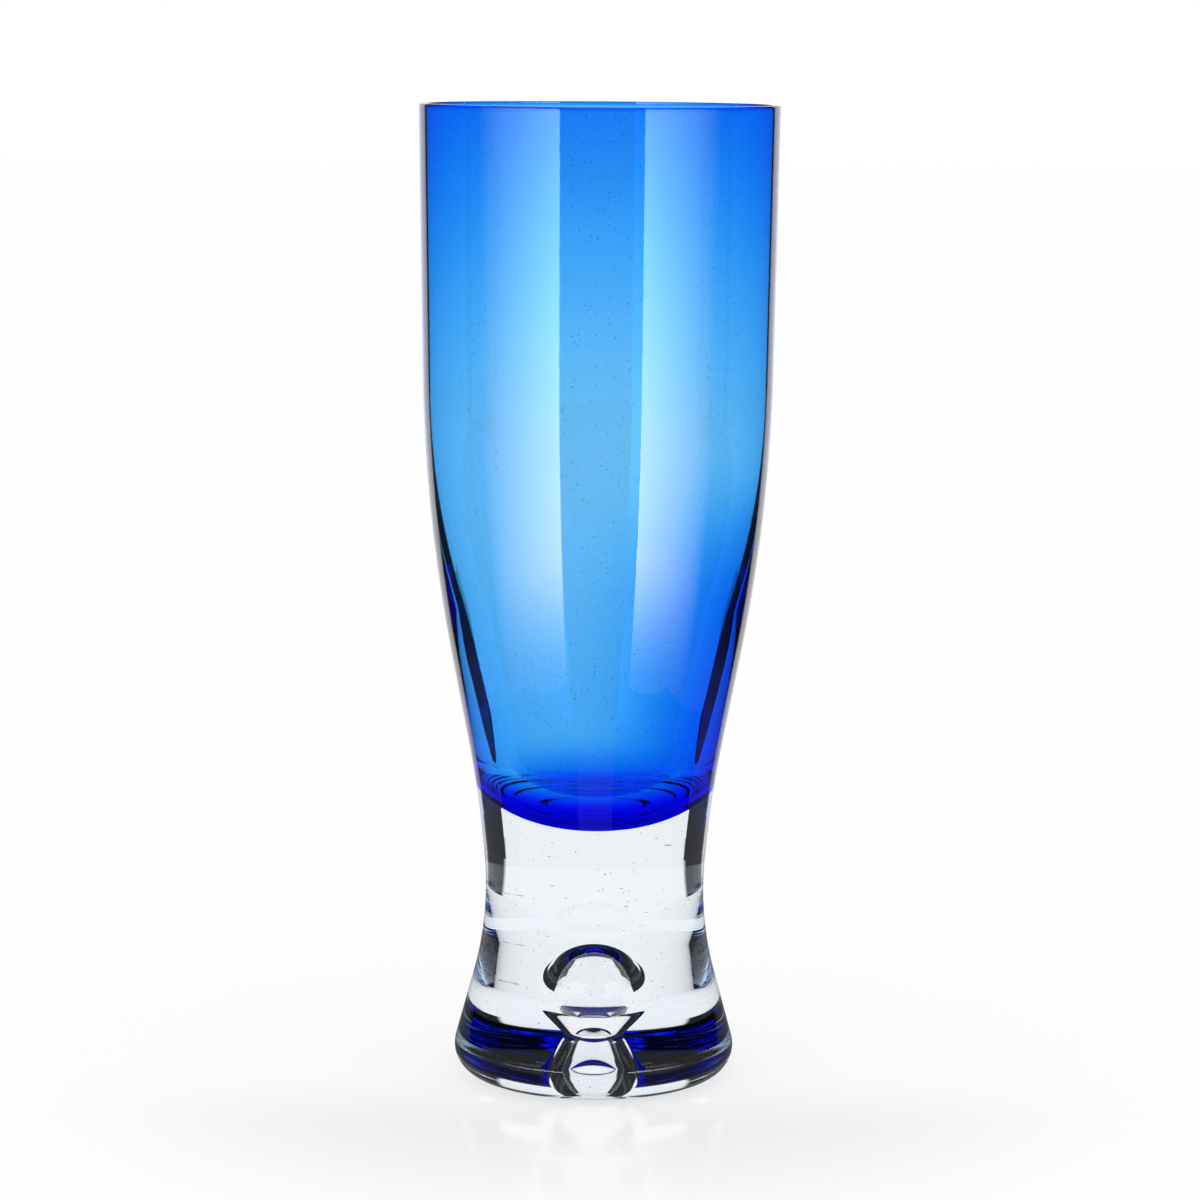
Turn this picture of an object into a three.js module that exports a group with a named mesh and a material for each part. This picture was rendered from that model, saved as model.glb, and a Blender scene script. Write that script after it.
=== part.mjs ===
// Tall glass tumbler: a thin blue blown cup, cased in clear glass that runs down into a heavy waisted
// foot. A blown bubble, open to the underside, stands in the middle of the foot.
// Sizes are in millimetres. Radii are measured from the axis and heights from the table, +Z up.
import * as THREE from 'three';

// Outside of the clear casing: the corners that its rounded outline turns at
const HEIGHT = 200;
const RIM_RADIUS = 36.5;
const SHOULDER_RADIUS = 35.25;
const SHOULDER_HEIGHT = 116.6;
const SHOULDER_ROUNDING = 335;
const UPPER_WAIST_RADIUS = 23.9;
const UPPER_WAIST_HEIGHT = 58;
const UPPER_WAIST_ROUNDING = 225;
const LOWER_WAIST_RADIUS = 21.7;
const LOWER_WAIST_HEIGHT = 33;
const LOWER_WAIST_ROUNDING = 70;
const FOOT_RADIUS = 30.8;
const FOOT_ROUNDING = 6;
const LIP_ROUNDING = 0.25;

// Hollow of the casing that holds the blue cup
const RIM_WALL = 1.05;
const SHOULDER_WALL = 0.8;
const SEAT_SHOULDER_RISE = 2.3;
const SEAT_SHOULDER_ROUNDING = 160;
const HEEL_INSET = 3.8;
const SOLID_BASE_HEIGHT = 53.5;
const HEEL_RISE = 14.5;
const HEEL_PULL = 6.8;
const FLOOR_PULL = 13;

// Blue cup
const SEAT_CLEARANCE = 0.1;
const CUP_WALL = 0.5;
const CUP_FLOOR = 2;

// Bubble in the foot, open below
const BUBBLE_MOUTH_RADIUS = 7;
const BUBBLE_NECK_RADIUS = 3.9;
const BUBBLE_NECK_HEIGHT = 7.4;
const BUBBLE_NECK_ROUNDING = 2.5;
const BUBBLE_HIP_RADIUS = 7.8;
const BUBBLE_HIP_HEIGHT = 12.8;
const BUBBLE_HIP_ROUNDING = 3;
const BUBBLE_RADIUS = 8.1;
const BUBBLE_MIDDLE_HEIGHT = 14.6;
const BUBBLE_TOP_HEIGHT = 27.8;

// Fineness of the facets
const SIDES = 48;
const WIDE_ARC_STEPS = 5;
const FOOT_ARC_STEPS = 8;
const SMALL_ARC_STEPS = 3;
const FLOOR_STEPS = 10;
const DOME_STEPS = 7;

function corner(radius, height, rounding = 0, steps = 0) {
  return { place: new THREE.Vector2(radius, height), rounding, steps };
}

// The points of a run of straight lines whose corners are rounded by arcs. An arc takes at most half of
// the shorter line beside it.
function roundedOutline(corners) {
  const points = [corners[0].place];
  for (let i = 1; i < corners.length - 1; i += 1) {
    const { place, rounding, steps } = corners[i];
    const toLast = corners[i - 1].place.clone().sub(place);
    const toNext = corners[i + 1].place.clone().sub(place);
    const longestReach = Math.min(toLast.length(), toNext.length()) / 2;
    toLast.normalize();
    toNext.normalize();
    const halfAngle = Math.acos(THREE.MathUtils.clamp(toLast.dot(toNext), -1, 1)) / 2;
    const radius = Math.min(rounding, longestReach * Math.tan(halfAngle));
    if (steps === 0 || radius === 0) {
      points.push(place);
      continue;
    }
    const middle = toLast.clone().add(toNext).normalize();
    const centre = place.clone().addScaledVector(middle, radius / Math.sin(halfAngle));
    const firstPoint = place.clone().addScaledVector(toLast, radius / Math.tan(halfAngle));
    const lastPoint = place.clone().addScaledVector(toNext, radius / Math.tan(halfAngle));
    const from = firstPoint.clone().sub(centre).angle();
    const turn = lastPoint.clone().sub(centre).angle() - from;
    const shortTurn = THREE.MathUtils.euclideanModulo(turn + Math.PI, 2 * Math.PI) - Math.PI;
    const arc = new THREE.EllipseCurve(
      centre.x, centre.y, radius, radius, from, from + shortTurn, shortTurn < 0,
    );
    points.push(...arc.getPoints(steps));
  }
  points.push(corners[corners.length - 1].place);
  return points;
}

// Outside of the tumbler, from the edge of the bubble's mouth to the corner of the lip
function outsideCorners() {
  return [
    corner(BUBBLE_MOUTH_RADIUS, 0),
    corner(FOOT_RADIUS, 0, FOOT_ROUNDING, FOOT_ARC_STEPS),
    corner(LOWER_WAIST_RADIUS, LOWER_WAIST_HEIGHT, LOWER_WAIST_ROUNDING, WIDE_ARC_STEPS),
    corner(UPPER_WAIST_RADIUS, UPPER_WAIST_HEIGHT, UPPER_WAIST_ROUNDING, WIDE_ARC_STEPS),
    corner(SHOULDER_RADIUS, SHOULDER_HEIGHT, SHOULDER_ROUNDING, WIDE_ARC_STEPS),
    corner(RIM_RADIUS, HEIGHT, LIP_ROUNDING, SMALL_ARC_STEPS),
  ];
}

// A cup-shaped outline inside the casing, from the axis up to the rim: `inset` is how far its wall lies
// inside the casing's hollow, and `lift` how far its floor lies above the hollow's lowest point.
function cupOutline(inset, lift) {
  const heelRadius = UPPER_WAIST_RADIUS - HEEL_INSET - inset;
  const heelHeight = SOLID_BASE_HEIGHT + HEEL_RISE;
  const shoulderRadius = SHOULDER_RADIUS - SHOULDER_WALL - inset;
  const shoulderHeight = SHOULDER_HEIGHT + SEAT_SHOULDER_RISE;
  const floorHeight = SOLID_BASE_HEIGHT + lift;
  const wallSlope = (shoulderRadius - heelRadius) / (shoulderHeight - heelHeight);
  const floor = new THREE.CubicBezierCurve(
    new THREE.Vector2(0, floorHeight),
    new THREE.Vector2(FLOOR_PULL - inset, floorHeight),
    new THREE.Vector2(heelRadius - HEEL_PULL * wallSlope, heelHeight - HEEL_PULL),
    new THREE.Vector2(heelRadius, heelHeight),
  );
  const wall = roundedOutline([
    corner(heelRadius, heelHeight),
    corner(shoulderRadius, shoulderHeight, SEAT_SHOULDER_ROUNDING, WIDE_ARC_STEPS),
    corner(RIM_RADIUS - RIM_WALL - inset, HEIGHT),
  ]);
  return [...floor.getPoints(FLOOR_STEPS), ...wall.slice(1)];
}

// Wall of the bubble, from its top on the axis down to its mouth in the underside
function bubbleOutline() {
  const dome = new THREE.EllipseCurve(
    0, BUBBLE_MIDDLE_HEIGHT, BUBBLE_RADIUS, BUBBLE_TOP_HEIGHT - BUBBLE_MIDDLE_HEIGHT, Math.PI / 2, 0, true,
  );
  const neck = roundedOutline([
    corner(BUBBLE_RADIUS, BUBBLE_MIDDLE_HEIGHT),
    corner(BUBBLE_HIP_RADIUS, BUBBLE_HIP_HEIGHT, BUBBLE_HIP_ROUNDING, SMALL_ARC_STEPS),
    corner(BUBBLE_NECK_RADIUS, BUBBLE_NECK_HEIGHT, BUBBLE_NECK_ROUNDING, SMALL_ARC_STEPS),
    corner(BUBBLE_MOUTH_RADIUS, 0),
  ]);
  return [new THREE.Vector2(0, BUBBLE_TOP_HEIGHT), ...dome.getPoints(DOME_STEPS).slice(1), ...neck.slice(1)];
}

// A round piece turned about +Z from the outline of its half section
function turned(name, outline, material) {
  const geometry = new THREE.LatheGeometry(outline, SIDES);
  geometry.rotateX(Math.PI / 2);
  const mesh = new THREE.Mesh(geometry, material);
  mesh.name = name;
  return mesh;
}

function clearCasing() {
  const seat = cupOutline(0, 0);
  const seatEdge = seat[seat.length - 1];
  const outside = roundedOutline([...outsideCorners(), corner(seatEdge.x, seatEdge.y)]);
  const outline = [...bubbleOutline(), ...outside.slice(1), ...seat.reverse().slice(1)];
  const glass = new THREE.MeshStandardMaterial({ color: 0xe8eef3, roughness: 0.03, metalness: 0 });
  return turned('clear_casing', outline, glass);
}

function blueCup() {
  const outside = cupOutline(SEAT_CLEARANCE, SEAT_CLEARANCE);
  const inside = cupOutline(SEAT_CLEARANCE + CUP_WALL, SEAT_CLEARANCE + CUP_FLOOR);
  const lip = roundedOutline([
    corner(...outside[outside.length - 1]),
    corner(...inside[inside.length - 1], LIP_ROUNDING, SMALL_ARC_STEPS),
    corner(...inside[inside.length - 2]),
  ]);
  const outline = [...outside, ...lip.slice(1, -1), ...inside.reverse().slice(1)];
  const blueGlass = new THREE.MeshStandardMaterial({ color: 0x1f78ee, roughness: 0.03, metalness: 0 });
  return turned('blue_cup', outline, blueGlass);
}

const tumbler = new THREE.Group();
tumbler.add(clearCasing(), blueCup());

export default tumbler;
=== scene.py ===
"""Looks of the glass tumbler: a thin blue blown cup, cased in clear glass that runs down into a heavy foot.

Laid out as an add-on: the sizes and colours are in the property groups, and each operator makes one
piece. Everything is in metres, +Z up, with the foot on z = 0 and the axis of the tumbler on Z.
"""
import math

import bpy
from bpy.props import FloatProperty, FloatVectorProperty, IntProperty, PointerProperty
from mathutils import Matrix, Vector


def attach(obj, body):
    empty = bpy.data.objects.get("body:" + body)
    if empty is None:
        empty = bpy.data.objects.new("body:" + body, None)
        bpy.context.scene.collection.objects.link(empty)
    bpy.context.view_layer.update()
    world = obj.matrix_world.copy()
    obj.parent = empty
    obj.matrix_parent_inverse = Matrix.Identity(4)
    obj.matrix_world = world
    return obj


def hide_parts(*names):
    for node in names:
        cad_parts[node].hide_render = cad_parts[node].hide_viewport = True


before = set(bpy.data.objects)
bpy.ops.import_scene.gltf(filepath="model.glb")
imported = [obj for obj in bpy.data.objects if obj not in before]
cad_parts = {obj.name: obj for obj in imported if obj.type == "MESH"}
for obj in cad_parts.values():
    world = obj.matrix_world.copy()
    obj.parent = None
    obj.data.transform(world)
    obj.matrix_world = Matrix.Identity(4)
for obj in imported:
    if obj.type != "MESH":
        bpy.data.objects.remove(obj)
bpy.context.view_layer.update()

bl_info = {
    "name": "Glass tumbler",
    "version": (1, 0, 0),
    "blender": (4, 5, 0),
    "location": "View3D > Sidebar > Tumbler",
    "description": "Builds the pieces of a cased glass tumbler and the stage that it stands on",
    "category": "Object",
}

MM = 0.001
BODY = "root"
WHITE = (1.0, 1.0, 1.0, 1.0)

# Face attribute that is 1 where a piece is fused to the other piece and 0 where it meets the air
SEAM = "seam"

# Points nearer than this are one point
WELD = 0.002 * MM

# Faces whose middle is nearer to the rim's height than this are the lip's
LIP_MARGIN = 0.01 * MM

# A face looks in a direction if its normal leans that way by more than this cosine
FACING = 0.5

# Edges that turn more than this stay sharp
SHARP = math.radians(50)

# The long curves of an outline have this many times the steps of its arcs
LONG_CURVE = 2

# How quickly the thicker side of the blue layer falls off round the tumbler
SAG_FALLOFF = 3

# Light through the solid foot alone goes through no more surfaces of glass than this, and through no
# more see-through stage cards
FOOT_SURFACES = 2
CARDS_PASSED = 1

# Counts of what light has met are compared half way between two whole numbers
HALF = 0.5

# The own coordinates of a stage card run from minus this to this, across and up
CARD_EDGE = 0.5

# How often light may turn in the glass, how often by mirroring, and how many seams and cards it may pass
MOST_TURNS = 32
MIRROR_TURNS = 24
SEAMS_PASSED = 64


def length(name, description, millimetres):
    """A property that holds a length, given in millimetres."""
    return FloatProperty(name=name, description=description, default=millimetres * MM, unit="LENGTH")


def angle(name, description, degrees):
    """A property that holds an angle, given in degrees."""
    return FloatProperty(name=name, description=description, default=math.radians(degrees), subtype="ANGLE")


def number(name, description, value):
    """A property that holds a plain number."""
    return FloatProperty(name=name, description=description, default=value, precision=4)


def colour(name, description, value):
    """A property that holds a colour, in linear light."""
    return FloatVectorProperty(name=name, description=description, default=value, subtype="COLOR", size=3)


class TumblerOutside(bpy.types.PropertyGroup):
    """The corners that the outside of the casing turns at."""

    height: length("Height", "Table to rim", 200)
    rim: length("Rim radius", "Outside of the mouth", 36.5)
    shoulder: length("Shoulder radius", "Widest part of the bowl before the rim", 35.25)
    shoulder_height: length("Shoulder height", "Table to the shoulder", 116.6)
    shoulder_rounding: length("Shoulder rounding", "Radius of the curve at the shoulder", 335)
    upper_waist: length("Upper waist radius", "Where the bowl runs into the foot", 23.9)
    upper_waist_height: length("Upper waist height", "Table to the upper waist", 58)
    upper_waist_rounding: length("Upper waist rounding", "Radius of the curve at the upper waist", 225)
    lower_waist: length("Lower waist radius", "Narrowest part of the foot", 21.7)
    lower_waist_height: length("Lower waist height", "Table to the lower waist", 33)
    lower_waist_rounding: length("Lower waist rounding", "Radius of the curve at the lower waist", 70)
    foot: length("Foot radius", "Where the flare of the foot would meet the table", 30.8)
    foot_rounding: length("Foot rounding", "Radius of the foot's edge", 6)
    lip_rounding: length("Lip rounding", "Radius of the lip's edges", 0.5)


class TumblerHollow(bpy.types.PropertyGroup):
    """The hollow that the drink goes into, and the blue layer round it."""

    rim_wall: length("Rim wall", "Whole wall at the rim", 1.65)
    shoulder_wall: length("Shoulder wall", "Whole wall at the shoulder", 1.4)
    shoulder_rise: length("Shoulder rise", "Hollow's shoulder above the outside's", 2.3)
    shoulder_rounding: length("Shoulder rounding", "Radius of the curve at the shoulder", 160)
    heel_inset: length("Heel inset", "Hollow's heel inside the upper waist", 4.4)
    heel_height: length("Heel height", "Table to where the floor turns into the wall", 68)
    heel_pull: length("Heel pull", "How far the floor's curve follows the wall's line", 6.8)
    floor_height: length("Floor height", "Table to the lowest point of the hollow", 55.3)
    floor_pull: length("Floor pull", "How far the floor's curve stays level", 12.4)
    blue_rim: length("Blue at the rim", "Thickness of the blue layer at the rim", 0.37)
    blue_lip: length("Blue at the lip", "How much thicker the blue layer is at the lip", 0.45)
    blue_lip_height: length("Blue lip height", "How far below the rim the blue layer thickens", 1.0)
    blue_middle: length("Blue at the middle", "Thickness of the blue layer where it is thinnest", 0.135)
    blue_middle_height: length("Blue middle height", "Table to where the blue layer is thinnest", 125)
    blue_heel: length("Blue at the heel", "Thickness of the blue layer at the heel", 0.19)
    blue_floor: length("Blue floor", "Thickness of the blue layer on the axis", 1.8)
    blue_sag: length("Blue sag", "How much thicker the blue layer is low on its right side", 0.28)
    blue_sag_high: length("Blue sag top", "Table to where the thicker side begins", 130)
    blue_sag_low: length("Blue sag full", "Table to where the thicker side is at its most", 90)
    seam_gap: length("Seam gap", "Between the two layers, which are fused", 0.02)


class TumblerBubble(bpy.types.PropertyGroup):
    """The bubble blown into the foot, open below."""

    mouth: length("Mouth radius", "Opening in the underside", 7)
    mouth_rounding: length("Mouth rounding", "Radius of the opening's edge", 0.6)
    neck: length("Neck radius", "Corner of the narrowest part", 3.9)
    neck_height: length("Neck height", "Table to the neck", 7.4)
    neck_rounding: length("Neck rounding", "Radius of the curve at the neck", 2.5)
    hip: length("Hip radius", "Corner under the widest part", 7.8)
    hip_height: length("Hip height", "Table to the hip", 12.8)
    hip_rounding: length("Hip rounding", "Radius of the curve at the hip", 3)
    widest: length("Widest radius", "Widest part of the bubble", 8.1)
    widest_height: length("Widest height", "Table to the widest part", 14.6)
    top_height: length("Top height", "Table to the top of the dome", 27.8)


class TumblerGlass(bpy.types.PropertyGroup):
    """What the two glasses look like."""

    sides: IntProperty(name="Sides", description="Facets round the axis", default=256)
    arc_steps: IntProperty(name="Arc steps", description="Facets along each arc of an outline", default=16)
    ior: number("Index of refraction", "Both glasses", 1.51)
    tint: colour("Tint", "Light let through at each surface", (0.99, 0.995, 1.0))
    clear_keeps: colour("Clear keeps", "Absorption colour of the clear glass", (0.0, 0.52, 0.95))
    clear_density: number("Clear density", "Absorption of the clear glass per metre", 2.0)
    blue_keeps: colour("Blue keeps", "Absorption colour of the blue glass", (0.0, 0.69, 0.992))
    blue_density: number("Blue density", "Absorption of the blue glass per metre", 6800.0)
    ripple_size: length("Ripple size", "Spacing of the faint rings left by blowing", 3.0)
    ripple_depth: length("Ripple depth", "Depth of the faint rings left by blowing", 0.004)
    ripple_round: number("Ripple round", "How much of the rings' unevenness runs round the tumbler", 0.12)
    ripple_detail: number("Ripple detail", "How rough the faint rings are", 2.0)
    seed_spacing: length("Seed spacing", "Spacing of the tiny bubbles in the glass", 1.2)
    seed_size: length("Seed size", "Radius of the largest tiny bubbles", 0.15)
    seed_least: number("Smallest seed", "The smallest tiny bubble as a share of the largest", 0.3)
    seed_share: number("Seed share", "Share of the spaces that hold a tiny bubble", 0.8)
    seed_tint: colour("Seed tint", "How dark a tiny bubble looks", (0.16, 0.18, 0.22))


class TumblerStage(bpy.types.PropertyGroup):
    """Floor, light and camera."""

    floor: length("Floor size", "Side of the pale floor", 12000)
    floor_gap: length("Floor gap", "Air between the foot and the floor", 0.05)
    floor_paper: number("Floor paper", "How pale the floor is where it keeps the shadow", 0.9)
    floor_glow: number("Floor glow", "Share of the floor's white that keeps no shadow", 0.75)
    floor_gloss: number("Floor gloss", "Share of the floor's light that is mirrored", 0.12)
    gloss_blur: number("Gloss blur", "Roughness of the floor's gloss", 0.12)
    gloss: length("Gloss radius", "Axis to where the floor's gloss fades", 50)
    gloss_end: length("Gloss end", "Axis to the end of the floor's gloss", 120)
    table: length("Table radius", "Axis to where the table fades, as mirrored in the glass", 150)
    table_end: length("Table end", "Axis to the end of the table, as mirrored in the glass", 340)
    table_light: number("Table light", "Brightness of the table, as mirrored in the glass", 0.15)
    # The floor's dark patch is painted shade: it stands for the dark room, as seen through the solid foot
    patch_near: angle("Patch near edge", "From straight behind to the floor's dark patch", 40)
    patch_far: angle("Patch far edge", "From straight behind to the dark patch's far edge", 68)
    patch_inner: length("Patch inner edge", "Axis to the floor's dark patch", 135)
    patch_outer: length("Patch outer edge", "Axis to the dark patch's outer edge", 900)
    mirrored_near: angle("Mirrored patch near edge", "The near edge, as mirrored inside the foot", 12)
    mirrored_far: angle("Mirrored patch far edge", "The far edge, as mirrored inside the foot", 85)
    mirrored_inner: length("Mirrored patch inner edge", "Axis to it, as mirrored inside the foot", 110)
    patch_shade: number("Patch shade", "Brightness of the dark patch", 0.03)
    edge_blur: angle("Edge blur", "Half the width of the soft edges of dark patches and sides", 2)
    camera_distance: length("Camera distance", "Axis to lens", 800)
    camera_height: length("Camera height", "Table to lens", 213.27)
    camera_pitch: angle("Camera pitch", "How far the camera looks down", 8.129)
    camera_yaw: angle("Camera yaw", "How far the camera looks to the right", 0.051)
    camera_roll: angle("Camera roll", "How far the camera leans to the left", 0.4)
    camera_clip: length("Camera clip", "Nothing nearer to the lens than this shows", 10)
    focal_length: number("Focal length", "Of the lens, in millimetres", 118.13)
    box_distance: length("Softbox distance", "Axis to the softboxes", 900)
    box_left_near: angle("Left softbox near edge", "From the camera's direction to its bright edge", 24.5)
    box_right_near: angle("Right softbox near edge", "From the camera's direction to its bright edge", 28)
    box_far: angle("Softbox far edge", "From the camera's direction to the softbox's dim edge", 81)
    box_low: length("Softbox low edge", "Table to the softbox's lower edge", -900)
    box_high: length("Softbox high edge", "Table to the softbox's upper edge", 320)
    box_light: number("Softbox light", "Brightness at the bright edge", 9.3)
    box_full: number("Softbox full", "Share of its height where it reaches full light", 0.3)
    box_dim_start: number("Softbox dimming", "Share of its height where its light begins to fall", 0.59)
    box_dim_end: number("Softbox dimmest", "Share of its height where its light stops falling", 1.06)
    box_dim: number("Softbox dimming share", "Share of its light that is lost there", 0.75)
    box_inside: number("Softbox inside", "Share of its light that glass mirrors inside itself", 0.4)
    box_low_colour: colour("Softbox low colour", "Its light low down", (1.0, 0.85, 1.0))
    box_high_colour: colour("Softbox high colour", "Its light high up", (0.85, 1.4, 1.4))
    box_tone_start: number("Softbox tone start", "Share of its height where the low colour ends", 0.72)
    box_tone_end: number("Softbox tone end", "Share of its height where the high colour begins", 0.875)
    # The low, bowl and edge flags and the front cards are sheets of painted shade, for the dark room as the
    # glass shows it
    low_flag_behind: length("Low flags behind", "Axis back to the flags for the base", 300)
    low_flag_near: length("Low flag near edge", "Axis across to the near edge of a low flag", 240)
    low_flag_wide: length("Low flag width", "Of the flags for the base", 500)
    low_flag_foot: length("Low flag foot", "Table to the lower edge of a low flag", 8)
    low_flag_high: length("Low flag top", "Table to the top of a low flag", 75)
    bowl_flag_behind: length("Bowl flags behind", "Axis back to the flags for the bowl", 40)
    bowl_flag_near: length("Bowl flag near edge", "Axis across to its near edge, at its foot", 50)
    bowl_flag_foot: length("Bowl flag foot", "Table to the lower edge of a bowl flag", 31)
    bowl_flag_wide: length("Bowl flag width", "Of the lower part of a bowl flag", 30)
    bowl_flag_step: length("Bowl flag step", "Table to where a bowl flag grows thin and leans", 75)
    bowl_flag_thin: length("Bowl flag upper width", "Of the upper part of a bowl flag", 20)
    bowl_flag_lean: length("Bowl flag lean", "How much nearer to the axis it is at its top", 5)
    edge_flag_near: length("Edge flag near edge", "Axis across to the near edge of an edge flag", 45)
    edge_flag_wide: length("Edge flag width", "Of the flags for the edges of the bowl", 20)
    edge_flag_foot: length("Edge flag foot", "Table to an edge flag, where a bowl flag ends", 112)
    edge_flag_high: length("Edge flag top", "Table to the top of an edge flag", 205)
    card_distance: length("Front card distance", "Axis to the low cards in front", 100)
    card_near: angle("Front card near edge", "From the camera's direction to the card", 15)
    card_bend: angle("Front card bend", "From the camera's direction to the card's bend", 55)
    card_far: angle("Front card far edge", "From the camera's direction to the card's far edge", 95)
    card_foot: length("Front card foot", "Table to the card's lower edge", 10)
    card_high: length("Front card top", "Table to the card's top", 46)
    # Painted shade of the flags and front cards
    flag_shade: colour("Flag shade", "Colour of the dark flags and cards", (0.028, 0.028, 0.034))
    dome_light: number("Dome light", "Brightness of the room as it lights the floor", 1.1)
    window_light: number("Window light", "Brightness of the white behind the tumbler", 1.0)
    window_top: number("Window top", "Sine of the height that the white behind the tumbler reaches", 0.24)
    window_blur: number("Window blur", "Half the width of the window's soft top", 0.04)
    window_peak: number("Window peak", "Sine of the further height that it reaches straight behind", 0.5)
    peak_start: number("Peak start", "Sine of the angle to the side where the peak begins to fall", 0.35)
    peak_end: number("Peak end", "Sine of the angle to the side where the peak has gone", 0.5)
    side_near: angle("Dark side near edge", "From straight behind to the dark side of the room", 32)
    side_far: angle("Dark side far edge", "From straight behind to the dark side's far edge", 68)
    front_shade: number("Front shade", "Brightness of the room in front, as mirrored in the glass", 0.12)
    front_start: number("Front start", "How far to the front the room begins to count as the front", 0.3)
    front_end: number("Front end", "How far to the front all of the room counts as the front", 0.8)
    overhead_shade: number("Overhead shade", "Brightness of the room elsewhere", 0.02)


class Signal:
    """An output socket of a shader node. Arithmetic on it adds Math nodes."""

    def __init__(self, board, socket):
        self.board = board
        self.socket = socket

    def math(self, operation, first, second):
        return self.board.add("ShaderNodeMath", {"operation": operation}, {0: first, 1: second})

    def __add__(self, other):
        return self.math("ADD", self, other)

    def __sub__(self, other):
        return self.math("SUBTRACT", self, other)

    def __rsub__(self, other):
        return self.math("SUBTRACT", other, self)

    def __mul__(self, other):
        return self.math("MULTIPLY", self, other)

    def __truediv__(self, other):
        return self.math("DIVIDE", self, other)

    def __lt__(self, other):
        return self.math("LESS_THAN", self, other)

    def __gt__(self, other):
        return self.math("GREATER_THAN", self, other)

    def most(self, other):
        return self.math("MAXIMUM", self, other)

    __radd__ = __add__
    __rmul__ = __mul__


class Board:
    """The node tree of a material or of the world, emptied."""

    def __init__(self, owner):
        owner.use_nodes = True
        self.tree = owner.node_tree
        self.tree.nodes.clear()

    def place(self, kind, settings=None, sockets=None):
        """A new node: the settings are set first, then each socket gets its value or link."""
        node = self.tree.nodes.new(kind)
        for name, value in (settings or {}).items():
            setattr(node, name, value)
        for name, value in (sockets or {}).items():
            if isinstance(value, Signal):
                self.tree.links.new(value.socket, node.inputs[name])
            else:
                node.inputs[name].default_value = value
        return node

    def add(self, kind, settings=None, sockets=None, output=0):
        """One output of a new node."""
        return Signal(self, self.place(kind, settings, sockets).outputs[output])

    def parts(self, vector):
        """The X, Y and Z of a vector."""
        node = self.place("ShaderNodeSeparateXYZ", sockets={0: vector})
        return [Signal(self, output) for output in node.outputs]

    def ramp(self, signal, start, end):
        """0 up to start and 1 from end on, with a smooth run between them."""
        return self.add(
            "ShaderNodeMapRange", {"interpolation_type": "SMOOTHSTEP"},
            {"Value": signal, "From Min": start, "From Max": end},
        )

    def past(self, signal, edge, blur):
        """1 past an edge and 0 before it, with a smooth run that reaches the blur to each side."""
        return self.ramp(signal, edge - blur, edge + blur)

    def from_behind(self, across, along):
        """The angle from straight behind the tumbler, the same to both sides."""
        aside = across.most(0.0 - across)
        return self.add("ShaderNodeMath", {"operation": "ARCTAN2"}, {0: aside, 1: along})

    def light(self, fact):
        """What the light that is being followed has met so far."""
        return self.add("ShaderNodeLightPath", output=fact)

    def mix_colours(self, factor, first, second):
        sockets = {0: factor, 6: first, 7: second}
        return self.add("ShaderNodeMix", {"data_type": "RGBA"}, sockets, output=2)

    def mix_shaders(self, factor, first, second):
        return self.add("ShaderNodeMixShader", sockets={0: factor, 1: first, 2: second})

    def glow(self, tone, strength):
        return self.add("ShaderNodeEmission", sockets={"Color": tone, "Strength": strength})

    def see_through(self):
        return self.add("ShaderNodeBsdfTransparent")


def opaque(rgb):
    """A colour with full alpha, as colour sockets want it."""
    return (rgb[0], rgb[1], rgb[2], 1.0)


def smooth_step(way):
    """0 up to 0 and 1 from 1 on, with a smooth run between them."""
    way = min(1.0, max(0.0, way))
    return way * way * (3 - 2 * way)


def corner(radius, height, rounding=0.0):
    return Vector((radius, height)), rounding


def rounded_outline(corners, steps):
    """The points of a run of straight lines whose corners are rounded by arcs.

    An arc takes at most half of the shorter line beside it.
    """
    points = [corners[0][0]]
    for (last, _), (place, rounding), (following, _) in zip(corners, corners[1:], corners[2:]):
        if rounding == 0.0:
            points.append(place)
            continue
        to_last = last - place
        to_next = following - place
        longest_reach = min(to_last.length, to_next.length) / 2
        to_last.normalize()
        to_next.normalize()
        half_angle = to_last.angle(to_next) / 2
        radius = min(rounding, longest_reach * math.tan(half_angle))
        middle = (to_last + to_next).normalized()
        centre = place + middle * (radius / math.sin(half_angle))
        start = place + to_last * (radius / math.tan(half_angle)) - centre
        end = place + to_next * (radius / math.tan(half_angle)) - centre
        turn = start.angle_signed(end)
        for i in range(steps + 1):
            points.append(centre + Matrix.Rotation(-turn * i / steps, 2) @ start)
    points.append(corners[-1][0])
    return points


def bezier_points(first, first_pull, last_pull, last, steps):
    """The points of a cubic curve, both ends included."""
    points = []
    for i in range(steps + 1):
        t = i / steps
        points.append(
            (1 - t) ** 3 * first
            + 3 * t * (1 - t) ** 2 * first_pull
            + 3 * t ** 2 * (1 - t) * last_pull
            + t ** 3 * last
        )
    return points


def blue_thickness(tumbler, height):
    """Thickness of the blue layer in the wall: thinnest in the middle, thicker to the rim and the heel."""
    hollow = tumbler.hollow
    if height > hollow.blue_middle_height:
        end_height, end = tumbler.outside.height, hollow.blue_rim
    else:
        end_height, end = hollow.heel_height, hollow.blue_heel
    way = (height - hollow.blue_middle_height) / (end_height - hollow.blue_middle_height)
    lip = smooth_step(1.0 - (tumbler.outside.height - height) / hollow.blue_lip_height)
    return hollow.blue_middle + (end - hollow.blue_middle) * way ** 2 + hollow.blue_lip * lip


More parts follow.
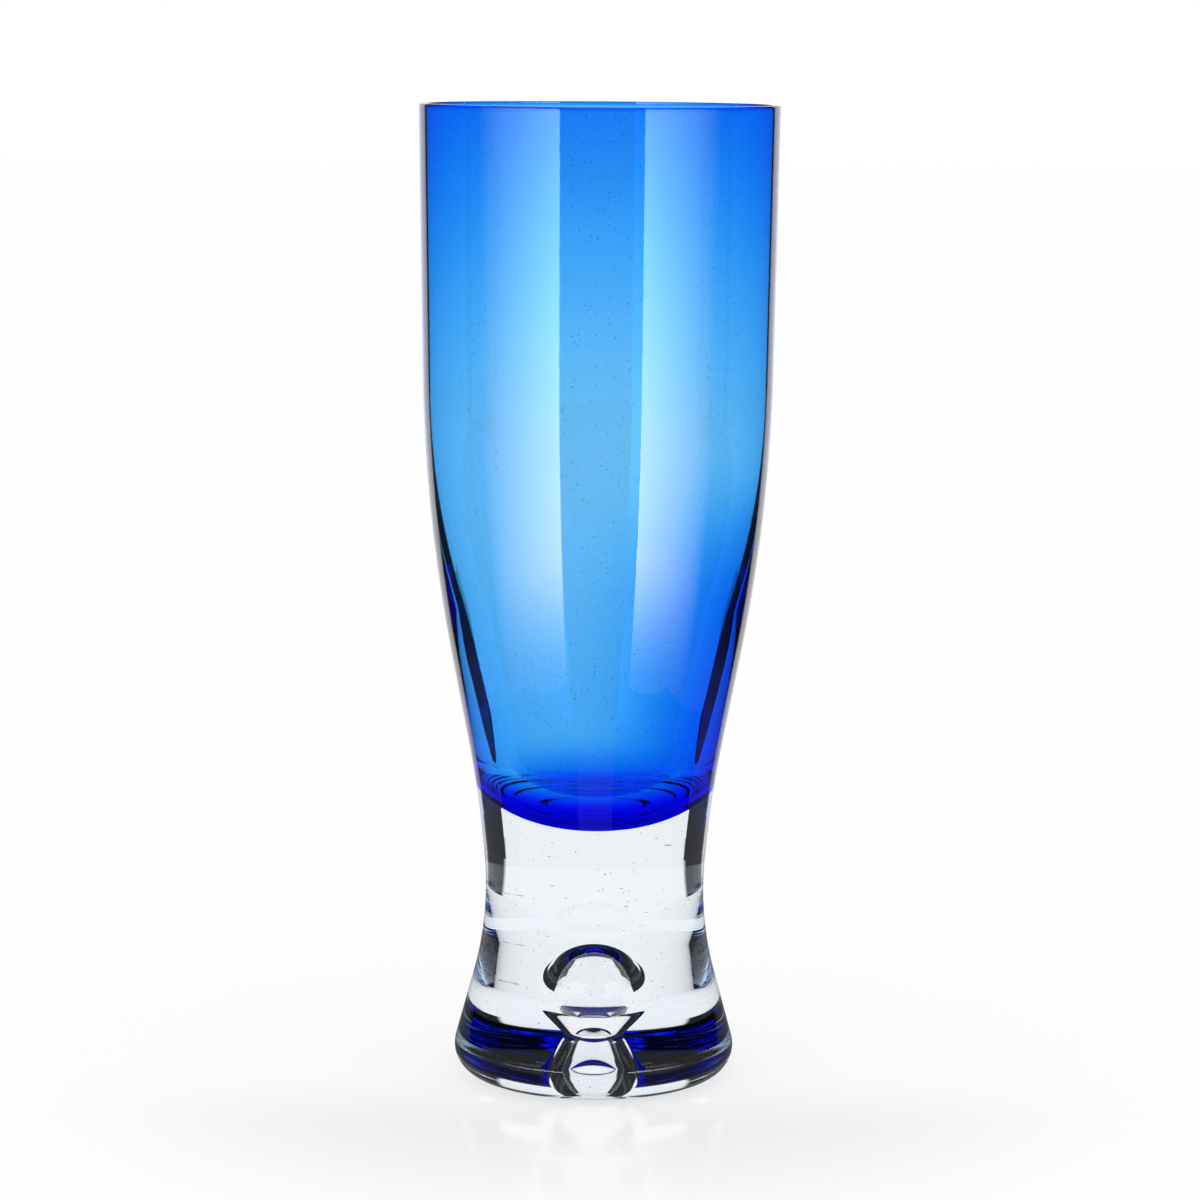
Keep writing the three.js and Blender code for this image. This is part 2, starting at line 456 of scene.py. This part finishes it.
def floor_outline(tumbler, heel, floor):
    """The floor of a cup, from the axis to the heel; it lies outside the hollow's by heel and floor."""
    outside = tumbler.outside
    hollow = tumbler.hollow
    shoulder = Vector((
        outside.shoulder - hollow.shoulder_wall,
        outside.shoulder_height + hollow.shoulder_rise,
    ))
    heel_place = Vector((outside.upper_waist - hollow.heel_inset, hollow.heel_height))
    slope = (shoulder.x - heel_place.x) / (shoulder.y - heel_place.y)
    heel_place.x += heel
    height = hollow.floor_height - floor
    return bezier_points(
        Vector((0.0, height)),
        Vector((hollow.floor_pull + heel, height)),
        heel_place - hollow.heel_pull * Vector((slope, 1.0)),
        heel_place,
        LONG_CURVE * tumbler.glass.arc_steps,
    )


def wall_outline(tumbler):
    """The wall of the hollow, from the heel to the rim, with its points closer together near the rim."""
    outside = tumbler.outside
    hollow = tumbler.hollow
    steps = tumbler.glass.arc_steps
    turns = rounded_outline([
        corner(outside.upper_waist - hollow.heel_inset, hollow.heel_height),
        corner(
            outside.shoulder - hollow.shoulder_wall,
            outside.shoulder_height + hollow.shoulder_rise,
            hollow.shoulder_rounding,
        ),
        corner(outside.rim - hollow.rim_wall, outside.height),
    ], steps)
    last_turn, rim = turns[-2:]
    return turns[:-1] + [last_turn.lerp(rim, 1 - (1 - (i + 1) / steps) ** 2) for i in range(steps)]


def hollow_outline(tumbler):
    """The inside of the tumbler, from the axis to the rim."""
    return floor_outline(tumbler, 0.0, 0.0) + wall_outline(tumbler)[1:]


def seam_outline(tumbler, gap):
    """Where the two glasses meet, from the axis to the rim, moved outwards by the gap."""
    hollow = tumbler.hollow
    floor = floor_outline(tumbler, hollow.blue_heel + gap, hollow.blue_floor + gap)
    wall = [Vector((p.x + blue_thickness(tumbler, p.y) + gap, p.y)) for p in wall_outline(tumbler)]
    return floor + wall[1:]


def dome_outline(bubble, steps):
    """The bubble's dome, from its top on the axis down to its widest part."""
    dome = []
    for i in range(steps + 1):
        turn = math.pi / 2 * i / steps
        rise = (bubble.top_height - bubble.widest_height) * math.cos(turn)
        dome.append(Vector((bubble.widest * math.sin(turn), bubble.widest_height + rise)))
    return dome


def turned_piece(name, outline, sides):
    """A closed round piece, spun about +Z from the outline of its half section."""
    bpy.ops.object.select_all(action="DESELECT")
    bpy.ops.mesh.primitive_plane_add(size=1.0)
    piece = bpy.context.object
    piece.name = name
    piece.data.name = name
    bpy.ops.object.mode_set(mode="EDIT")
    bpy.ops.mesh.select_all(action="SELECT")
    bpy.ops.mesh.merge(type="CENTER")
    bpy.ops.transform.translate(value=(outline[0].x, 0.0, outline[0].y))
    for last, point in zip(outline, outline[1:]):
        step = point - last
        bpy.ops.mesh.extrude_region_move(TRANSFORM_OT_translate={"value": (step.x, 0.0, step.y)})
    bpy.ops.mesh.select_all(action="SELECT")
    bpy.ops.mesh.spin(steps=sides, angle=2 * math.pi, center=(0.0, 0.0, 0.0), axis=(0.0, 0.0, 1.0))
    bpy.ops.mesh.select_all(action="SELECT")
    bpy.ops.mesh.remove_doubles(threshold=WELD)
    bpy.ops.mesh.normals_make_consistent(inside=False)
    bpy.ops.object.mode_set(mode="OBJECT")
    bpy.ops.object.shade_smooth_by_angle(angle=SHARP)
    return piece


def mark_seam(piece, is_seam):
    """Marks the faces that are fused to the other glass, picked by their place and normal."""
    marks = piece.data.attributes.new(SEAM, "FLOAT", "FACE")
    for face, mark in zip(piece.data.polygons, marks.data):
        outwards = Vector((face.center.x, face.center.y, 0.0)).normalized()
        mark.value = float(is_seam(face.center.z, face.normal.dot(outwards), face.normal.z))


def sag_seam(piece, tumbler):
    """Moves the marked faces outwards low on the right side, where the blue layer is thicker."""
    hollow = tumbler.hollow
    heel = tumbler.outside.upper_waist - hollow.heel_inset
    marks = piece.data.attributes[SEAM].data
    on_seam = {i for face, mark in zip(piece.data.polygons, marks) if mark.value for i in face.vertices}
    for i in on_seam:
        place = piece.data.vertices[i].co
        radius = math.hypot(place.x, place.y)
        if radius < WELD:
            continue
        way = (hollow.blue_sag_high - place.z) / (hollow.blue_sag_high - hollow.blue_sag_low)
        way = smooth_step(way) * min(1.0, radius / heel)
        side = ((1 + place.x / radius) / 2) ** SAG_FALLOFF
        grown = (radius + hollow.blue_sag * way * side) / radius
        place.x *= grown
        place.y *= grown


def glass_material(name, look, keeps, density):
    """Smooth blown glass with faint rings and tiny bubbles, which lets light straight through a seam."""
    material = bpy.data.materials.new(name)
    board = Board(material)
    place = board.add("ShaderNodeTexCoord", output="Object")
    round_it = look.ripple_round / look.ripple_size
    stretch = (round_it, round_it, 1.0 / look.ripple_size)
    rings = board.add("ShaderNodeVectorMath", {"operation": "MULTIPLY"}, {0: place, 1: stretch})
    ripple = board.add(
        "ShaderNodeTexNoise", sockets={"Vector": rings, "Scale": 1.0, "Detail": look.ripple_detail}
    )
    normal = board.add(
        "ShaderNodeBump", sockets={"Strength": 1.0, "Distance": look.ripple_depth, "Height": ripple}
    )
    cells = {"Vector": place, "Scale": 1.0 / look.seed_spacing}
    from_seed = board.add("ShaderNodeTexVoronoi", sockets=cells, output="Distance")
    cell_colour = board.add("ShaderNodeTexVoronoi", sockets=cells, output="Color")
    chance = board.add("ShaderNodeSeparateColor", sockets={"Color": cell_colour})
    largest = look.seed_size / look.seed_spacing
    size = look.seed_least + chance / look.seed_share * (1.0 - look.seed_least)
    seed = from_seed < largest * (chance < look.seed_share) * size
    glass = board.add("ShaderNodeBsdfPrincipled", sockets={
        "Base Color": board.mix_colours(seed, opaque(look.tint), opaque(look.seed_tint)),
        "Roughness": 0.0,
        "IOR": look.ior,
        "Transmission Weight": 1.0,
        "Normal": normal,
    })
    seam = board.add("ShaderNodeAttribute", {"attribute_name": SEAM}, output="Fac")
    absorption = {"Color": opaque(keeps), "Density": density}
    board.place("ShaderNodeOutputMaterial", sockets={
        "Surface": board.mix_shaders(seam, glass, board.see_through()),
        "Volume": board.add("ShaderNodeVolumeAbsorption", sockets=absorption),
    })
    return material


class TUMBLER_OT_clear_casing(bpy.types.Operator):
    """Make the clear casing with its heavy foot and the bubble in it"""

    bl_idname = "tumbler.clear_casing"
    bl_label = "Clear casing"

    def execute(self, context):
        tumbler = context.scene.tumbler
        outside = tumbler.outside
        bubble = tumbler.bubble
        look = tumbler.glass
        steps = look.arc_steps
        seat = seam_outline(tumbler, tumbler.hollow.seam_gap)
        skin = rounded_outline([
            corner(bubble.widest, bubble.widest_height),
            corner(bubble.hip, bubble.hip_height, bubble.hip_rounding),
            corner(bubble.neck, bubble.neck_height, bubble.neck_rounding),
            corner(bubble.mouth, 0.0, bubble.mouth_rounding),
            corner(outside.foot, 0.0, outside.foot_rounding),
            corner(outside.lower_waist, outside.lower_waist_height, outside.lower_waist_rounding),
            corner(outside.upper_waist, outside.upper_waist_height, outside.upper_waist_rounding),
            corner(outside.shoulder, outside.shoulder_height, outside.shoulder_rounding),
            corner(outside.rim, outside.height, outside.lip_rounding),
            corner(*seat[-1]),
        ], steps)
        outline = dome_outline(bubble, LONG_CURVE * steps) + skin[1:] + seat[-2::-1]
        piece = turned_piece("clear_casing_glass", outline, look.sides)
        above_bubble = (bubble.top_height + tumbler.hollow.floor_height) / 2
        below_lip = outside.height - LIP_MARGIN

        def is_seam(height, outwards, up):
            floor = up > FACING and height < outside.shoulder_height
            return above_bubble < height < below_lip and (floor or outwards < -FACING)

        mark_seam(piece, is_seam)
        sag_seam(piece, tumbler)
        clear = glass_material("clear_glass_look", look, look.clear_keeps, look.clear_density)
        piece.data.materials.append(clear)
        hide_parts("clear_casing")
        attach(piece, BODY)
        return {"FINISHED"}


class TUMBLER_OT_blue_cup(bpy.types.Operator):
    """Make the blue cup inside the casing"""

    bl_idname = "tumbler.blue_cup"
    bl_label = "Blue cup"

    def execute(self, context):
        tumbler = context.scene.tumbler
        outside = tumbler.outside
        look = tumbler.glass
        outer = seam_outline(tumbler, 0.0)
        inner = hollow_outline(tumbler)
        lip = rounded_outline([
            corner(*outer[-1]),
            corner(*inner[-1], outside.lip_rounding),
            corner(*inner[-2]),
        ], look.arc_steps)
        piece = turned_piece("blue_cup_glass", outer + lip[1:] + inner[-3::-1], look.sides)
        below_lip = outside.height - LIP_MARGIN

        def is_seam(height, outwards, up):
            return height < below_lip and (outwards > 0.0 or up < -FACING)

        mark_seam(piece, is_seam)
        sag_seam(piece, tumbler)
        blue = glass_material("blue_glass_look", look, look.blue_keeps, look.blue_density)
        piece.data.materials.append(blue)
        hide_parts("blue_cup")
        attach(piece, BODY)
        return {"FINISHED"}


def through_solid(board):
    """1 for light that has gone through the solid foot alone, and through no seam."""
    surfaces = board.light("Transmission Depth")
    see_through = board.light("Transparent Depth")
    return (surfaces < FOOT_SURFACES + HALF) * (see_through < CARDS_PASSED + HALF)


def mirrored_once(board):
    """1 for light that a smooth glass surface has mirrored, on its outside or its inside."""
    return (board.light("Glossy Depth") > HALF) * board.light("Is Singular Ray")


def mirrored_outside(board):
    """1 for light that the outside of the glass has mirrored."""
    return mirrored_once(board) * (1.0 - board.light("Is Transmission Ray"))


def shade_material(name, shade, seen):
    """A plain dark sheet of painted shade that only some light sees."""
    material = bpy.data.materials.new(name)
    board = Board(material)
    cloth = board.glow(opaque(shade), 1.0)
    shown = board.mix_shaders(seen(board), board.see_through(), cloth)
    board.place("ShaderNodeOutputMaterial", sockets={"Surface": shown})
    return material


def softbox_material(stage):
    """A softbox that shows only mirrored in glass: bright along one edge, fading across, up and down."""
    material = bpy.data.materials.new("softbox_look")
    board = Board(material)
    across, up, _ = board.parts(board.add("ShaderNodeTexCoord", output="Object"))
    across = across + CARD_EDGE
    up = up + CARD_EDGE
    dimming = stage.box_dim * board.ramp(up, stage.box_dim_start, stage.box_dim_end)
    strength = across * board.ramp(up, 0.0, stage.box_full) * (1.0 - dimming)
    strength = strength * (1.0 - (1.0 - stage.box_inside) * board.light("Is Transmission Ray"))
    tone = board.mix_colours(
        board.ramp(up, stage.box_tone_start, stage.box_tone_end),
        opaque(stage.box_low_colour),
        opaque(stage.box_high_colour),
    )
    tone = board.add("ShaderNodeVectorMath", {"operation": "SCALE"}, {0: tone, "Scale": strength})
    shown = board.mix_shaders(mirrored_once(board), board.see_through(), board.glow(tone, stage.box_light))
    board.place("ShaderNodeOutputMaterial", sockets={"Surface": shown})
    return material


def painted_floor_shade(board, stage, place):
    """1 on the floor's painted shade to both sides behind the tumbler, for light from its solid foot."""
    across, along, _ = board.parts(place)
    from_axis = board.add("ShaderNodeVectorMath", {"operation": "LENGTH"}, {0: place}, "Value")
    turn = board.from_behind(across, along)
    blur = stage.edge_blur
    straight = board.past(turn, stage.patch_near, blur) * (1.0 - board.past(turn, stage.patch_far, blur))
    straight = straight * (from_axis > stage.patch_inner) * (from_axis < stage.patch_outer)
    mirrored = board.past(turn, stage.mirrored_near, blur)
    mirrored = mirrored * (1.0 - board.past(turn, stage.mirrored_far, blur))
    mirrored = mirrored * (from_axis > stage.mirrored_inner) * mirrored_once(board)
    return straight.most(mirrored) * through_solid(board)


def floor_material(stage):
    """A white floor that keeps a soft shadow, and mirrors the tumbler a little just in front of it.

    Seen through the glass it is evenly lit, apart from the patches of painted shade. Seen mirrored in the
    glass it is a dim table that ends near the tumbler.
    """
    material = bpy.data.materials.new("floor_look")
    board = Board(material)
    place = board.add("ShaderNodeTexCoord", output="Object")
    from_axis = board.add("ShaderNodeVectorMath", {"operation": "LENGTH"}, {0: place}, "Value")
    along = board.parts(place)[1]
    pale = (stage.floor_paper, stage.floor_paper, stage.floor_paper, 1.0)
    paper = board.add("ShaderNodeBsdfDiffuse", sockets={"Color": pale})
    paper = board.mix_shaders(stage.floor_glow, paper, board.glow(WHITE, 1.0))
    mirror = board.add("ShaderNodeBsdfGlossy", sockets={"Color": WHITE, "Roughness": stage.gloss_blur})
    in_front = 1.0 - board.ramp(along, -stage.gloss, 0.0)
    gloss = stage.floor_gloss * (1.0 - board.ramp(from_axis, stage.gloss, stage.gloss_end)) * in_front
    plain = board.mix_shaders(gloss, paper, mirror)
    past_table = board.ramp(from_axis, stage.table, stage.table_end)
    table = board.mix_shaders(past_table, board.glow(WHITE, stage.table_light), board.see_through())
    lit = board.glow(WHITE, stage.window_light)
    # Painted shade on the floor, where the room seen through the foot is dark
    dark = board.glow(WHITE, stage.patch_shade)
    patched = board.mix_shaders(painted_floor_shade(board, stage, place), lit, dark)
    floor = board.mix_shaders(board.light("Is Glossy Ray"), plain, table)
    floor = board.mix_shaders(board.light("Is Transmission Ray"), floor, patched)
    board.place("ShaderNodeOutputMaterial", sockets={"Surface": floor})
    return material


def white_world(stage):
    """White to the camera, and evenly bright as it lights the floor.

    Seen through the glass it is white low down, apart from a dark side to the left and to the right of
    straight behind, and dark above. Seen mirrored in the glass it is white low behind the tumbler only.
    """
    world = bpy.data.worlds.new("studio")
    board = Board(world)
    across, along, up = board.parts(board.add("ShaderNodeTexCoord", output="Generated"))
    through_glass = board.light("Is Transmission Ray")
    peak = 1.0 - board.ramp(across.most(0.0 - across), stage.peak_start, stage.peak_end)
    peak = peak * stage.window_peak * (1.0 - through_solid(board))
    low = 1.0 - board.past(up - peak, stage.window_top, stage.window_blur)
    turn = board.from_behind(across, along)
    past_near = board.past(turn, stage.side_near, stage.edge_blur)
    past_far = board.past(turn, stage.side_far, stage.edge_blur)
    straight = through_glass * (1.0 - mirrored_once(board))
    lit = (1.0 - past_near).most(past_far * straight) * low
    in_front = board.ramp(0.0 - along, stage.front_start, stage.front_end) * (1.0 - through_glass)
    shade = stage.overhead_shade + (stage.front_shade - stage.overhead_shade) * in_front
    room = shade + (stage.window_light - shade) * lit
    from_floor = board.light("Is Diffuse Ray") * stage.dome_light
    tone = board.light("Is Camera Ray").most(room).most(from_floor)
    sky = board.add("ShaderNodeBackground", sockets={"Color": tone, "Strength": 1.0})
    board.place("ShaderNodeOutputWorld", sockets={"Surface": sky})
    return world


def upright_card(name, left, right, low, high):
    """An upright stage card that the camera doesn't see, between two upright edges given as (x, y)."""
    across = Vector(right) - Vector(left)
    middle = (Vector(left) + Vector(right)) / 2
    bpy.ops.object.select_all(action="DESELECT")
    bpy.ops.mesh.primitive_plane_add(
        size=1.0,
        location=(middle.x, middle.y, (low + high) / 2),
        rotation=(math.pi / 2, 0.0, math.atan2(across.y, across.x)),
    )
    card = bpy.context.object
    card.name = name
    card.scale = (across.length, high - low, 1.0)
    card.visible_camera = False
    card.visible_diffuse = False
    return card


def round_place(distance, turn):
    """The point (x, y) at a distance from the axis, turned from the camera's direction towards +X."""
    return distance * math.sin(math.pi - turn), distance * math.cos(math.pi - turn)


def dark_flag(name, shade, behind, near, far, low, high, lean=0.0):
    """A dark card of painted shade behind the tumbler, from near to far across, whose top leans towards the
    axis.
    """
    flag = upright_card(name, (near, behind), (far, behind), low, high)
    for vertex in flag.data.vertices:
        if vertex.co.y > 0.0:
            vertex.co.x -= lean / flag.scale.x
    flag.data.materials.append(shade)
    flag.visible_glossy = False
    flag.visible_shadow = False


def front_card(name, shade, stage, side, start, end):
    """A low dark card of painted shade in front of the tumbler, between two angles from the camera's
    direction.
    """
    card = upright_card(
        name,
        round_place(stage.card_distance, side * start),
        round_place(stage.card_distance, side * end),
        stage.card_foot,
        stage.card_high,
    )
    card.data.materials.append(shade)
    card.visible_shadow = False


def softbox(name, light, stage, side, near):
    """A tall light in front of the tumbler, to one side."""
    box = upright_card(
        name,
        round_place(stage.box_distance, side * stage.box_far),
        round_place(stage.box_distance, side * near),
        stage.box_low,
        stage.box_high,
    )
    box.data.materials.append(light)


def pale_floor(stage):
    bpy.ops.object.select_all(action="DESELECT")
    bpy.ops.mesh.primitive_plane_add(size=stage.floor, location=(0.0, 0.0, -stage.floor_gap))
    floor = bpy.context.object
    floor.name = "floor"
    floor.data.materials.append(floor_material(stage))


def cards_and_lights(stage):
    """The dark flags behind the tumbler and the low cards in front of it, which are painted shade, and the
    softboxes, on both sides.
    """
    base_shade = shade_material("base_flag_look", stage.flag_shade, through_solid)
    bowl_shade = shade_material("bowl_flag_look", stage.flag_shade, mirrored_once)
    card_shade = shade_material("front_card_look", stage.flag_shade, mirrored_outside)
    light = softbox_material(stage)
    for side, name, box_near in ((-1, "left", stage.box_left_near), (1, "right", stage.box_right_near)):
        dark_flag(
            name + "_low_flag", base_shade, stage.low_flag_behind,
            side * stage.low_flag_near, side * (stage.low_flag_near + stage.low_flag_wide),
            stage.low_flag_foot, stage.low_flag_high,
        )
        dark_flag(
            name + "_middle_flag", bowl_shade, stage.bowl_flag_behind,
            side * stage.bowl_flag_near, side * (stage.bowl_flag_near + stage.bowl_flag_wide),
            stage.bowl_flag_foot, stage.bowl_flag_step,
        )
        dark_flag(
            name + "_high_flag", bowl_shade, stage.bowl_flag_behind,
            side * stage.bowl_flag_near, side * (stage.bowl_flag_near + stage.bowl_flag_thin),
            stage.bowl_flag_step, stage.edge_flag_foot, stage.bowl_flag_lean,
        )
        dark_flag(
            name + "_edge_flag", bowl_shade, stage.bowl_flag_behind,
            side * stage.edge_flag_near, side * (stage.edge_flag_near + stage.edge_flag_wide),
            stage.edge_flag_foot, stage.edge_flag_high,
        )
        for start, end in ((stage.card_near, stage.card_bend), (stage.card_bend, stage.card_far)):
            front_card(name + "_front_card", card_shade, stage, side, start, end)
        softbox(name + "_softbox", light, stage, side, box_near)


def photo_camera(stage):
    """The camera at the photograph's place and angle."""
    bpy.ops.object.camera_add(location=(0.0, -stage.camera_distance, stage.camera_height))
    camera = bpy.context.object
    camera.name = "camera"
    turn = Matrix.Rotation(-stage.camera_yaw, 4, "Z")
    tip = Matrix.Rotation(math.pi / 2 - stage.camera_pitch, 4, "X")
    lean = Matrix.Rotation(stage.camera_roll, 4, "Z")
    camera.rotation_euler = (turn @ tip @ lean).to_euler()
    camera.data.lens = stage.focal_length
    camera.data.clip_start = stage.camera_clip
    return camera


class TUMBLER_OT_stage(bpy.types.Operator):
    """Make the floor, the light and the camera"""

    bl_idname = "tumbler.stage"
    bl_label = "Stage"

    def execute(self, context):
        scene = context.scene
        stage = scene.tumbler.stage
        scene.world = white_world(stage)
        pale_floor(stage)
        cards_and_lights(stage)
        scene.camera = photo_camera(stage)
        scene.view_settings.view_transform = "Standard"
        scene.cycles.max_bounces = MOST_TURNS
        scene.cycles.transmission_bounces = MOST_TURNS
        scene.cycles.glossy_bounces = MIRROR_TURNS
        scene.cycles.transparent_max_bounces = SEAMS_PASSED
        return {"FINISHED"}


class TumblerSettings(bpy.types.PropertyGroup):
    """All settings of the tumbler."""

    outside: PointerProperty(type=TumblerOutside)
    hollow: PointerProperty(type=TumblerHollow)
    bubble: PointerProperty(type=TumblerBubble)
    glass: PointerProperty(type=TumblerGlass)
    stage: PointerProperty(type=TumblerStage)


class TUMBLER_PT_sidebar(bpy.types.Panel):
    """The tumbler's pieces and its stage, in the order they are made"""

    bl_idname = "TUMBLER_PT_sidebar"
    bl_label = "Glass tumbler"
    bl_space_type = "VIEW_3D"
    bl_region_type = "UI"
    bl_category = "Tumbler"

    def draw(self, context):
        for operator in OPERATORS:
            self.layout.operator(operator.bl_idname)


OPERATORS = (TUMBLER_OT_clear_casing, TUMBLER_OT_blue_cup, TUMBLER_OT_stage)
CLASSES = (
    TumblerOutside,
    TumblerHollow,
    TumblerBubble,
    TumblerGlass,
    TumblerStage,
    TumblerSettings,
    *OPERATORS,
    TUMBLER_PT_sidebar,
)


def register():
    for kind in CLASSES:
        bpy.utils.register_class(kind)
    bpy.types.Scene.tumbler = PointerProperty(type=TumblerSettings)


def unregister():
    del bpy.types.Scene.tumbler
    for kind in reversed(CLASSES):
        bpy.utils.unregister_class(kind)


def main():
    register()
    bpy.ops.tumbler.clear_casing()
    bpy.ops.tumbler.blue_cup()
    bpy.ops.tumbler.stage()


if __name__ == "__main__":
    main()
